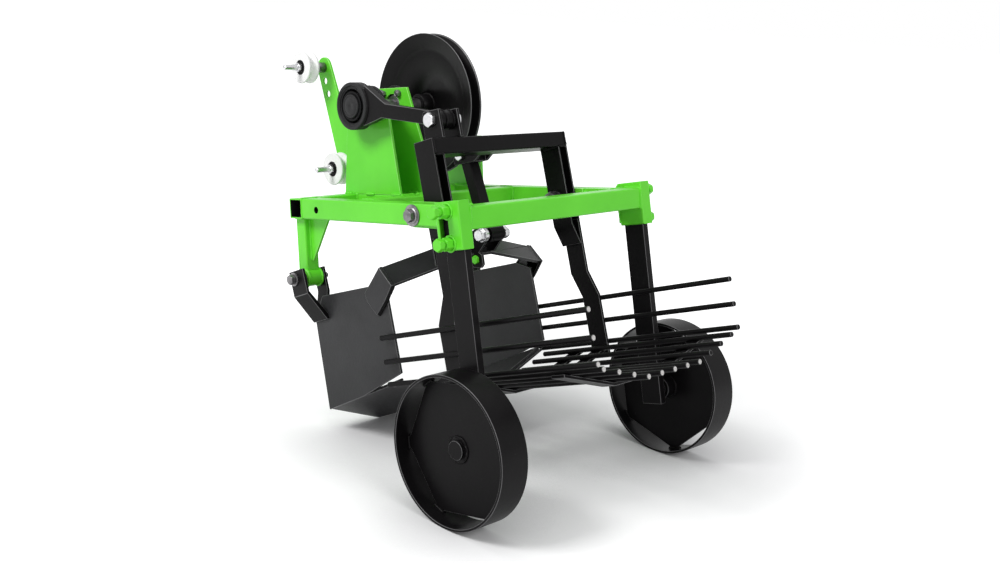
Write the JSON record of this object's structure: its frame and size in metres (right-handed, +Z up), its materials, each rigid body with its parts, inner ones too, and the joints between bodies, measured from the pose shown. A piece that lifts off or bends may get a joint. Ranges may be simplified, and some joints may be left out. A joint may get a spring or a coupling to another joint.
{
  "type": "potato digger",
  "caption": "Walk-behind vibrating potato digger: welded frame on two depth wheels, a hung trough-shaped share, and a rod sieve swung by an eccentric on a belt pulley shaft",
  "frame": {"origin": "centre of the overall box in plan, on the ground that the wheels and the share's edge stand on", "axes": "+Z up, -Y to the front (towards the tractor), +X to the machine's left"},
  "size_m": [0.644, 1.0198, 0.7968],
  "materials": {
    "green_paint": "bright green gloss powder coat",
    "black_paint": "satin black powder coat",
    "zinc_steel": "zinc-plated fasteners and bare ground steel",
    "roller_plastic": "white nylon"
  },
  "bodies": {
    "frame": {"front_cross_tube": "green_paint", "side_beam_left": "green_paint", "side_beam_right": "green_paint", "rear_cross_beam": "green_paint", "mid_cross_tube": "green_paint", "tower_rails": "green_paint", "pivot_doublers": "green_paint", "front_legs": "green_paint", "front_leg_gussets": "green_paint", "hanger_bushes": "green_paint", "post_sleeves": "green_paint", "sleeve_bolts": "green_paint", "sleeve_nuts": "green_paint", "tower_near_plate": "green_paint", "tower_far_plate": "green_paint", "tower_web": "green_paint", "guard_plate": "green_paint", "tension_arm": "green_paint", "bearing_housings": "black_paint", "bearing_bolts": "zinc_steel", "swing_pivot_bolts": "zinc_steel", "roller_bolts": "zinc_steel", "roller_spacers": "zinc_steel"},
    "drive_shaft_body": {"drive_shaft": "zinc_steel", "bearing_inner_rings": "zinc_steel", "eccentric": "black_paint", "big_end_inner_ring": "zinc_steel", "eccentric_cap": "black_paint", "pulley": "black_paint", "pulley_hub": "black_paint"},
    "conrod_body": {"conrod": "black_paint", "big_end_housing": "black_paint", "big_end_outer_ring": "zinc_steel", "small_end_bush": "black_paint"},
    "swing_body": {"swing_legs": "black_paint", "swing_crossbar": "black_paint", "swing_pivot_bushes": "black_paint", "small_end_ears": "black_paint", "small_end_bolt": "zinc_steel", "link_bracket": "black_paint", "link_pin": "zinc_steel", "sieve_legs": "black_paint", "side_rods": "black_paint", "bottom_rods": "black_paint", "sieve_bars": "black_paint"},
    "share_body": {"share_sides": "black_paint", "share_blade": "black_paint", "share_comb": "black_paint", "share_arch": "black_paint", "arch_ears": "black_paint", "link_bolt": "zinc_steel", "share_hangers": "black_paint", "hanger_bolts": "zinc_steel"},
    "link_body": {"link": "black_paint"},
    "post_left_body": {"post_left": "black_paint"},
    "wheel_left_body": {"wheel_left": "black_paint"},
    "post_right_body": {"post_right": "black_paint"},
    "wheel_right_body": {"wheel_right": "black_paint"},
    "upper_roller_body": {"upper_roller": "roller_plastic"},
    "lower_roller_body": {"lower_roller": "roller_plastic"}
  },
  "joints": [
    {"name": "sieve_swing", "type": "hinge", "parent": "frame", "child": "swing_body", "pos_m": [0, 0.07154, 0.49214], "axis": [1, 0, 0], "range_deg": [0, 2.47]},
    {"name": "share_swing", "type": "hinge", "parent": "frame", "child": "share_body", "pos_m": [0, -0.26194, 0.30471], "axis": [1, 0, 0], "range_deg": [-0.4, 0.05]},
    {"name": "link_turn", "type": "hinge", "parent": "swing_body", "child": "link_body", "pos_m": [0, -0.0315, 0.57476], "axis": [1, 0, 0], "range_deg": [-1, 0.1]},
    {"name": "conrod_turn", "type": "hinge", "parent": "swing_body", "child": "conrod_body", "pos_m": [0, 0.02395, 0.654], "axis": [1, 0, 0], "range_deg": [-3, 0.1]},
    {"name": "shaft_spin", "type": "hinge", "parent": "frame", "child": "drive_shaft_body", "pos_m": [0, -0.241, 0.64983], "axis": [1, 0, 0], "continuous": true},
    {"name": "post_left_slide", "type": "slide", "parent": "frame", "child": "post_left_body", "axis": [0, -0.2414, 0.9704], "range_m": [0, 0.18]},
    {"name": "post_right_slide", "type": "slide", "parent": "frame", "child": "post_right_body", "axis": [0, -0.2414, 0.9704], "range_m": [0, 0.18]},
    {"name": "wheel_left_spin", "type": "hinge", "parent": "post_left_body", "child": "wheel_left_body", "pos_m": [0.292, 0.29084, 0.134], "axis": [1, 0, 0], "continuous": true},
    {"name": "wheel_right_spin", "type": "hinge", "parent": "post_right_body", "child": "wheel_right_body", "pos_m": [-0.292, 0.29084, 0.134], "axis": [1, 0, 0], "continuous": true},
    {"name": "upper_roller_spin", "type": "hinge", "parent": "frame", "child": "upper_roller_body", "pos_m": [0.071, -0.47593, 0.7062], "axis": [1, 0, 0], "continuous": true},
    {"name": "lower_roller_spin", "type": "hinge", "parent": "frame", "child": "lower_roller_body", "pos_m": [0.071, -0.35324, 0.5051], "axis": [1, 0, 0], "continuous": true}
  ],
  "couplings": [
    {"joint": "share_swing", "follows": "sieve_swing", "ratio": -0.13814},
    {"joint": "link_turn", "follows": "sieve_swing", "ratio": -0.28937},
    {"joint": "conrod_turn", "follows": "sieve_swing", "ratio": -1.1101}
  ]
}
